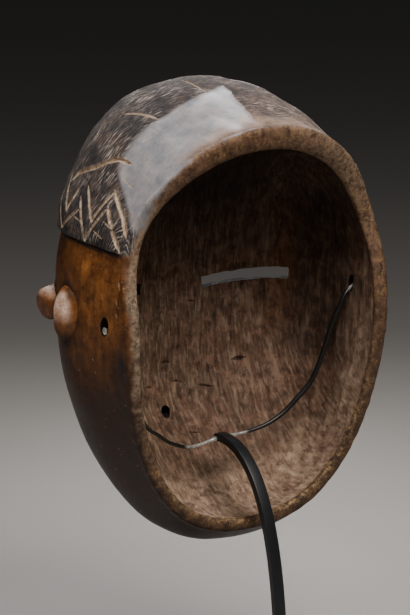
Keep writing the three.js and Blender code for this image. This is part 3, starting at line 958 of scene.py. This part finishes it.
def spline_points(bends, per_bend):
    """Points on a centripetal Catmull-Rom curve through the bends."""
    ends = [bends[0] * 2 - bends[1], *bends, bends[-1] * 2 - bends[-2]]
    out = []
    for i in range(len(bends) - 1):
        knots = [0.0]
        for a, b in zip(ends[i:], ends[i + 1:i + 4]):
            knots.append(knots[-1] + (b - a).length ** 0.5)
        for step in range(per_bend):
            t = knots[1] + (knots[2] - knots[1]) * step / per_bend
            row = ends[i:i + 4]
            for spans in SPLINE_SPANS:
                times = [(t, knots[low], knots[high]) for low, high in spans]
                row = [
                    a * ((high - t) / (high - low)) + b * ((t - low) / (high - low))
                    for a, b, (t, low, high) in zip(row, row[1:], times)
                ]
            out += row
    return out + [bends[-1]]


def path_lengths(path):
    """How far along a path each of its points lies."""
    return summed([(b - a).length for a, b in zip(path, path[1:])])


def swept(name, path, sections):
    """A closed mesh swept along a path, where each section lists its points across and up."""
    rings = []
    side = Vector((1.0, 0.0, 0.0))
    for i, (place, section) in enumerate(zip(path, sections)):
        ahead = path[min(i + 1, len(path) - 1)] - path[max(i - 1, 0)]
        ahead.normalize()
        up = ahead.cross(side).normalized()
        side = up.cross(ahead).normalized()
        rings.append([tuple(place + side * a + up * b) for a, b in section])
    return closed_piece(name, *lofted(rings))


def cradle_wire(material):
    """Round wire, rounded at its tips, with solder each side of the bar and a head at the left."""
    path = spline_points([HUNG @ Vector(bend) for bend in WIRE_BENDS], 12)
    lengths = path_lengths(path)
    sections = []
    for place, reach in zip(path, lengths):
        tip = min(reach, lengths[-1] - reach) / WIRE_RADIUS
        blunt = sqrt(1.0 - (1.0 - min(tip + 0.05, 1.0)) ** 2)
        x = place.x / MM
        heavier = HEAVIER * smooth(-20.0, -60.0, x) * smooth(-93.0, -84.0, x)
        heavier -= THINNED * smooth(-90.0, -97.0, x)
        swelling = SOLDERED * bell(abs(x) - 5.0, 1.8) + heavier + HEADED * bell(x - 106.0, 2.5)
        radius = WIRE_RADIUS * blunt * (1.0 + swelling)
        sections.append([(radius * cos(a), radius * sin(a)) for a in circle(14)])
    piece = swept("bent_wire", path, sections)
    finish_mesh(piece, material, 60.0)
    bare = []
    for vertex in piece.data.vertices:
        x = vertex.co.x / MM
        near_bar = 1.0 - smooth(20.0, 27.0, abs(x - 5.0))
        bare.append(float(max(near_bar, smooth(90.0, 92.5, abs(x)))))
    piece.data.attributes.new("bare", "FLOAT", "POINT").data.foreach_set("value", bare)
    return piece


# The bar's foot, where its bend begins, the two points that draw the bend, and its tip, as y and z
BAR_PATH = ((20.0, 10.05), (20.0, 25.0), (17.5, 125.0), (-8.0, 175.0), (-51.0, 171.2))

# How far the plate's edge is eased in at each height
PLATE_EDGE = ((0.8, 0.0), (0.25, 0.2), (0.0, 0.8), (0.0, 9.2), (0.25, 9.8), (0.8, 10.0))


def bar_path():
    """Upright from the plate, then one long bend forward to the wire."""
    foot, start, low_pull, high_pull, tip = (Vector((0.0, y, z)) for y, z in BAR_PATH)
    path = [foot.lerp(start, i / 6) for i in range(6)]
    for i in range(65):
        t = i / 64
        low = start.lerp(low_pull, t).lerp(low_pull.lerp(high_pull, t), t)
        high = low_pull.lerp(high_pull, t).lerp(high_pull.lerp(tip, t), t)
        path.append(low.lerp(high, t))
    return [place * MM for place in path]


def rounded_rectangle(half_wide, half_deep, corner, steps):
    """Points round a rectangle, with each corner turned in a number of steps."""
    points = []
    for across, deep, start in ((1, 1, 0.0), (-1, 1, 0.5), (-1, -1, 1.0), (1, -1, 1.5)):
        for i in range(steps + 1):
            turn = pi * (start + 0.5 * i / steps)
            points.append((
                across * (half_wide - corner) + corner * cos(turn),
                deep * (half_deep - corner) + corner * sin(turn),
            ))
    return points


def stand_bar(material):
    """Flat steel bar with softened edges and a blunt tip."""
    half_wide, half_deep, corner, tip_long, tip_inset = 4.0, 2.5, 0.7, 2.0, 0.9
    path = bar_path()
    lengths = path_lengths(path) / MM
    sections = []
    for along in lengths:
        tip = min(lengths[-1] - along, tip_long) / tip_long
        inset = tip_inset * (1.0 - sqrt(1.0 - (1.0 - tip) ** 2))
        outline = rounded_rectangle(half_wide - inset, half_deep - inset, corner, 4)
        sections.append([(a * MM, b * MM) for a, b in outline])
    piece = swept("bent_bar", path, sections)
    finish_mesh(piece, material, 50.0)
    return piece


def base_plate(material):
    """A plain steel plate with rounded corners and eased edges."""
    half, corner = 70.0, 3.0
    rings = []
    for inset, height in PLATE_EDGE:
        outline = rounded_rectangle(half - inset, half - inset, corner, 8)
        rings.append([(a * MM, b * MM, height * MM) for a, b in outline])
    piece = closed_piece("foot_plate", *lofted(rings))
    finish_mesh(piece, material, 35.0)
    return piece


def colour(hex_text):
    """An sRGB hex colour as linear red, green, blue and alpha."""
    parts = [int(hex_text[i:i + 2], 16) / 255 for i in (1, 3, 5)]
    return (*(p / 12.92 if p <= 0.04045 else ((p + 0.055) / 1.055) ** 2.4 for p in parts), 1.0)


def new_material(name):
    """An empty material, and the function that adds nodes to it."""
    material = bpy.data.materials.new(name)
    material.use_nodes = True
    tree = material.node_tree
    tree.nodes.clear()

    def add(kind, inputs=None, out=0, **settings):
        """Adds a node with its settings, and its inputs as values, hex colours or links."""
        node = tree.nodes.new("ShaderNode" + kind)
        for key, value in settings.items():
            setattr(node, key, value)
        for key, value in (inputs or {}).items():
            if isinstance(value, bpy.types.NodeSocket):
                tree.links.new(value, node.inputs[key])
            else:
                node.inputs[key].default_value = colour(value) if isinstance(value, str) else value
        return node.outputs[out] if node.outputs else None

    return material, add


def noise(add, where, size_mm, detail=4.0, rough=0.5, low=0.0, high=1.0):
    """Clouds of a size in millimetres, of which the part from low to high runs from 0 to 1."""
    cloud = add("TexNoise", {
        "Vector": where, "Scale": 1.0 / (size_mm * MM), "Detail": detail, "Roughness": rough,
    })
    return add("MapRange", {"Value": cloud, "From Min": low, "From Max": high})


def old_carved_wood():
    """Old carved hardwood: stained and handled to a low shine outside, blackened over the cap,
    rubbed bare along the rim, and left dry and tool-marked in the hollow. Painted shade darkens its
    crevices, cuts and the top of the hollow, and painted highlights and reflections lie on the
    ears, bosses, burnished patch and lit parts of the hollow."""
    material, add = new_material("old_carved_wood")
    place = add("TexCoord", out="Object")
    board = add("Attribute", out="Vector", attribute_name="grain")
    around_mask = add("Attribute", out="Vector", attribute_name="round")
    mask = {name: add("Attribute", out="Fac", attribute_name=name) for name in MASKS}

    def cloud(size_mm, detail=4.0, rough=0.55, low=0.35, high=0.65, where=place):
        """Clouds of a size in millimetres, spread to run from 0 to 1."""
        return noise(add, where, size_mm, detail, rough, low, high)

    def drawn_out(scale):
        """Places in the board, drawn out along its grain."""
        return add("Mapping", {"Vector": board, "Scale": (1.0, 1.0, scale)})

    def scratched(*sets):
        """Scratches round the mask. Each set has its turn, how far it is drawn out, its width
        and its spread."""
        lines = 0.0
        for turn, long, size_mm, low, high in sets:
            where = add("Mapping", {
                "Vector": around_mask,
                "Rotation": (0.0, 0.0, turn),
                "Scale": (1.0 / long, 1.0, 1.0),
            })
            one = cloud(size_mm, 3.0, 0.6, low, high, where)
            lines = add("Math", {0: lines, 1: one}, operation="MAXIMUM")
        return lines

    def product(*shares):
        """Shares multiplied together, where a name stands for the mask of that name."""
        total, *rest = (mask[share] if isinstance(share, str) else share for share in shares)
        for share in rest:
            total = add("Math", {0: total, 1: share}, operation="MULTIPLY")
        return total

    def layered(base, *layers):
        """A colour with others laid over it in turn, each by the product of its shares."""
        for over, *shares in layers:
            base = add("Mix", {0: product(*shares), 6: base, 7: over}, 2, data_type="RGBA")
        return base

    def stepped(value, *steps):
        """A value that moves towards others in turn, each by its share."""
        for amount, share in steps:
            value = add("Mix", {0: product(share), 2: value, 3: amount})
        return value

    fibre = cloud(1.3, 5.0, 0.6, 0.32, 0.68, drawn_out(0.09))
    broad_grain = cloud(5.0, 3.0, 0.5, where=drawn_out(0.09))
    clouds = cloud(26.0, 3.0, 0.5)
    patches = cloud(9.0, 5.0, 0.6)
    scratches = scratched((0.2, 12.0, 0.5, 0.55, 0.65), (-0.45, 9.0, 0.5, 0.56, 0.66))
    deep_scratches = scratched((0.5, 14.0, 0.7, 0.61, 0.66), (-0.2, 16.0, 0.6, 0.6, 0.65))

    # The stained outside: dark brown, rubbed to orange-brown where hands hold it
    warm = layered("#693b1d", ("#b87636", stepped(broad_grain, (patches, 0.6))))
    outside = layered(
        "#1a0d08",
        ("#311a10", patches),
        (warm, "warm", cloud(20.0, 6.0, 0.65, 0.2, 0.56)),
        ("#26140d", fibre, 0.25),
        ("#1c120e", cloud(4.0, 5.0, 0.65, 0.52, 0.7), 0.6),
        ("#b08a6c", cloud(2.4, 3.0, 0.6, 0.66, 0.72), 0.5),
    )

    # The blackened cap, with greyish scratches and brown wear, burnished on its back, where its
    # grey is a painted reflection
    worn_edge = add("Math", {0: mask["shine"], 1: product(scratches, 0.35)}, operation="SUBTRACT")
    shine = add("MapRange", {"Value": worn_edge, "From Min": 0.15, "From Max": 0.6})
    # Painted reflection: the light grey laid over the burnished patch
    painted_reflection = layered("#707378", ("#999391", cloud(11.0, 6.0, 0.7)))
    cap = layered(
        "#0e0d0f",
        ("#2b2728", patches),
        ("#5b4330", cloud(12.0, 6.0, 0.7, 0.5, 0.72), 0.6),
        ("#59402f", "brown", cloud(8.0, 5.0, 0.65, 0.3, 0.7)),
        ("#ac9c90", scratches, cloud(16.0, 4.0, 0.6), 0.65),
        ("#d6c5b7", deep_scratches, cloud(20.0, 4.0, 0.6, 0.45, 0.65)),
        (painted_reflection, shine, 0.85),
    )

    # The rim's worn wood, darker over its lower half
    rim = layered(
        "#41291a",
        ("#765840", cloud(6.0, 5.0, 0.65)),
        ("#a68148", cloud(1.6, 3.0, 0.6, 0.55, 0.68), clouds, 0.9),
        ("#281b13", cloud(3.0, 5.0, 0.7, 0.5, 0.64, drawn_out(0.45)), 0.75),
        ("#9c8a74", "pale", cloud(3.0, 6.0, 0.75, 0.38, 0.6)),
        ("#7d6c50", cloud(1.8, 3.0, 0.6, 0.55), 0.5),
        ("#35251b", "low", cloud(8.0, 6.0, 0.7, 0.38, 0.62)),
    )
    # Pale pinkish wood: real wear on the face, nose and lips, and a painted highlight on the ears
    # and bosses
    rubbed = layered("#cb9a7c", ("#f8dcc8", cloud(5.0, 4.0, 0.6)))
    fresh = layered("#6d5743", ("#cbb59c", fibre))
    skin = layered(
        outside,
        (cap, "cap"),
        (rim, "rim"),
        ("#8d7262", "rim_edge", cloud(6.0, 5.0, 0.6, 0.2, 0.75)),
        (rubbed, "rubbed", cloud(2.0, 5.0, 0.7, 0.28, 0.45)),
        (fresh, "stroke"),
        # Painted shade, near black, round the ears and bosses, under the cap's edge and in the
        # slits and holes
        ("#120c0a", "grime", 0.85),
        ("#1d1d20", "soot"),
    )

    # The dry hollow, darkened towards its top by painted shade where the rim shadows it
    # Paler wood painted where the light falls inside the hollow
    painted_light_wood = layered("#6c5140", ("#b29a82", cloud(3.5, 5.0, 0.65, where=drawn_out(0.4))))
    dry = layered(
        "#4a3528",
        ("#755f4e", fibre),
        ("#60392a", clouds, 0.35),
        ("#4c3b22", "olive", 0.35),
        ("#8f6b57", cloud(8.0, 5.0, 0.6, 0.54, 0.6), 0.45),
        ("#a9927c", cloud(2.4, 5.0, 0.6, 0.5, 0.68, drawn_out(0.2)), 0.55),
        # Painted highlight on the ridges between the chisel cuts
        ("#9c846d", "ridge", 0.35),
        ("#6e4420", "amber", 0.6),
        ("#2a1c14", cloud(7.0, 6.0, 0.7, 0.48, 0.66), 0.65),
        ("#20150f", cloud(3.6, 5.0, 0.6, 0.54, 0.68, drawn_out(0.22)), 0.6),
        (painted_light_wood, "dusty", cloud(6.0, 5.0, 0.7, 0.36, 0.52)),
        # Painted shadow on the right wall of the hollow
        ("#1e120c", "sooty", cloud(9.0, 5.0, 0.65, 0.1, 0.9)),
        # Painted shade in the chisel cuts
        ("#1c110c", "chiselled", 0.8),
        # Painted shade over the top of the hollow
        ("#140c09", "smoke", 0.85),
    )
    flecks = cloud(3.2, 6.0, 0.75, 0.48, 0.66)
    wood = layered(skin, (dry, "hollow"), ("#a98b60", "flecked", flecks))

    rough = stepped(
        0.38, (0.72, "cap"), (0.25, shine), (0.62, "rim"), (0.45, "rubbed"), (0.75, "stroke"),
        (0.8, "grime"), (0.82, "hollow"),
    )
    rough = add("Math", {0: rough, 1: product(patches, 0.12)}, operation="ADD")

    # Fibres and scuffs that a finger would feel, about a tenth of a millimetre deep
    crust = product(cloud(3.0, 6.0, 0.75, 0.3, 0.7), 2.2)
    height = stepped(
        product(fibre, 0.35), (scratches, "cap"), (0.0, shine), (crust, "rim"), (fibre, "hollow"),
    )
    bump = add("Bump", {"Height": height, "Strength": 0.5, "Distance": 0.25 * MM})
    add("OutputMaterial", {"Surface": add("BsdfPrincipled", {
        "Base Color": wood, "Roughness": rough, "Normal": bump, "IOR": 1.5,
        "Specular IOR Level": 0.3,
    })})
    return material


def black_painted_steel():
    """Mild steel bar and plate under satin black paint: an even soft sheen and faint brush lines,
    drawn as coarse as they need to be to show."""
    material, add = new_material("satin_black_painted_steel")
    place = add("TexCoord", out="Object")
    drawn = add("Mapping", {"Vector": place, "Scale": (1.0, 1.0, 0.05)})
    lines = noise(add, drawn, 1.11, 3.0)
    cloud = noise(add, place, 16.7)
    paint = add("Mix", {0: cloud, 6: "#0b0d10", 7: "#191b1f"}, 2, data_type="RGBA")
    rough = add("MapRange", {"Value": lines, "To Min": 0.34, "To Max": 0.5})
    bump = add("Bump", {"Height": lines, "Strength": 0.15, "Distance": 0.1 * MM})
    add("OutputMaterial", {"Surface": add("BsdfPrincipled", {
        "Base Color": paint, "Roughness": rough, "Normal": bump, "IOR": 1.5,
    })})
    return material


def blackened_wire():
    """Drawn steel wire, blackened, and rubbed bright near the bar and at its tips."""
    material, add = new_material("blackened_steel_wire")
    cloud = noise(add, add("TexCoord", out="Object"), 4.0)
    bare = add("Attribute", out="Fac", attribute_name="bare")
    patchy = add("MapRange", {"Value": cloud, "From Min": 0.35, "From Max": 0.6, "To Min": 0.3})
    share = add("Math", {0: bare, 1: patchy}, operation="MULTIPLY")
    tone = add("Mix", {0: share, 6: "#141513", 7: "#dcd8d0"}, 2, data_type="RGBA")
    metal = add("MapRange", {"Value": share, "To Min": 0.15, "To Max": 0.8})
    bump = add("Bump", {"Height": cloud, "Strength": 0.3, "Distance": 0.15 * MM})
    add("OutputMaterial", {"Surface": add("BsdfPrincipled", {
        "Base Color": tone, "Metallic": metal, "Roughness": 0.36, "Normal": bump,
    })})
    return material


def pale_paper():
    """Matt grey backdrop paper, very faintly uneven."""
    material, add = new_material("pale_paper")
    cloud = noise(add, add("TexCoord", out="Object"), 333.0, 2.0)
    tone = add("Mix", {0: cloud, 6: "#a19d98", 7: "#a8a49f"}, 2, data_type="RGBA")
    add("OutputMaterial", {"Surface": add("BsdfPrincipled", {
        "Base Color": tone, "Roughness": 0.9,
    })})
    return material


def make_floor():
    corners = [(x * FLOOR_HALF, y * FLOOR_HALF, 0) for x, y in ((-1, -1), (1, -1), (1, 1), (-1, 1))]
    mesh = bpy.data.meshes.new("floor")
    mesh.from_pydata(corners, [], [(0, 1, 2, 3)])
    mesh.materials.append(pale_paper())
    placed("floor", mesh)


def direction(azimuth, elevation):
    """The way from the object towards an azimuth and elevation in degrees."""
    a, e = radians(azimuth), radians(elevation)
    return Vector((sin(a) * cos(e), -cos(a) * cos(e), sin(e)))


def stand_off(made, aim, azimuth, elevation, distance):
    """Puts a camera or light at a distance from a point and turns it towards that point."""
    place = aim + direction(azimuth, elevation) * distance
    turned = (place - aim).to_track_quat("Z", "Y").to_matrix().to_4x4()
    made.matrix_world = Matrix.Translation(place) @ turned


def make_camera():
    data = bpy.data.cameras.new("camera")
    data.sensor_fit = "VERTICAL"
    data.sensor_height = PHOTO_HEIGHT_ON_FILM
    data.lens = LENS
    camera = placed("camera", data)
    stand_off(camera, CAMERA_AIM, *CAMERA_PLACE)
    bpy.context.scene.camera = camera


# Each light's azimuth, elevation and distance, its two sides, its power, spread and tint
LIGHTS = {
    "key": ((180.0, 52.0, 1.1), (0.6, 0.4), 14.0, 180.0, "#fff8f2"),
    "overhead": ((120.0, 80.0, 0.9), (0.55, 0.4), 3.8, 180.0, "#f6f8ff"),
    "left": ((95.0, 38.0, 1.1), (0.4, 0.4), 3.8, 180.0, "#fff8f2"),
    "front": ((-35.0, 38.0, 1.3), (0.8, 0.8), 3.6, 100.0, "#ffffff"),
    "fill": ((-35.0, 2.0, 1.2), (0.35, 0.35), 1.1, 50.0, "#ffffff"),
}
LIGHTS_AIM = Vector((0.0, -0.03, HANG_HEIGHT * MM))
SKY_STRENGTH = 0.035


def make_lights():
    """Soft lights round the mask, and a faint grey sky."""
    for name, (place, sides, power, spread, tint) in LIGHTS.items():
        data = bpy.data.lights.new(name, "AREA")
        data.shape = "RECTANGLE"
        data.size, data.size_y = sides
        data.energy = power
        data.spread = radians(spread)
        data.color = colour(tint)[:3]
        stand_off(placed(name, data), LIGHTS_AIM, *place)
    world = bpy.data.worlds.new("soft_grey")
    world.use_nodes = True
    sky = world.node_tree.nodes["Background"].inputs
    sky["Color"].default_value = colour("#d9dadc")
    sky["Strength"].default_value = SKY_STRENGTH
    bpy.context.scene.world = world


def dress(piece, node):
    """A finished piece stands for its solid: it hangs from the root body, and the solid is hidden.
    """
    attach(piece, "root")
    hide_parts(node)


make_camera()
make_floor()
make_lights()
steel = black_painted_steel()
dress(carved_mask(old_carved_wood()), "mask")
dress(cradle_wire(blackened_wire()), "wire_cradle")
dress(stand_bar(steel), "stand_bar")
dress(base_plate(steel), "base_plate")
